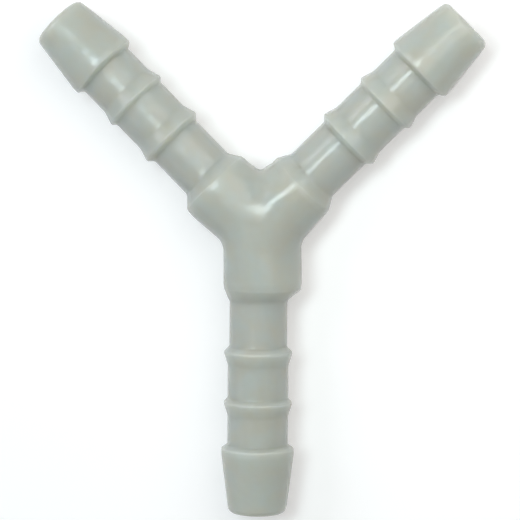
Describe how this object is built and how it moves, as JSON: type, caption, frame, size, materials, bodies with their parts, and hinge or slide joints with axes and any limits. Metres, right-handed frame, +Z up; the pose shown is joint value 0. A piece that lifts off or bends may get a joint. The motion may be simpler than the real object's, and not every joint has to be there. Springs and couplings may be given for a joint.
{
  "type": "tubing y connector",
  "caption": "Moulded plastic Y connector with barbed hose tails that joins soft tubes of the same bore.",
  "frame": {"origin": "where the axes of the three bores meet, on the mid-plane of the fitting", "axes": "the fitting lies flat with +Z up; -Y along the stem; the branches point to +Y, one toward -X and one toward +X"},
  "size_m": [0.0586, 0.0673, 0.0104],
  "materials": {
    "natural_plastic": "smooth moulded"
  },
  "bodies": {
    "root": {"y_connector": "natural_plastic"}
  },
  "joints": []
}
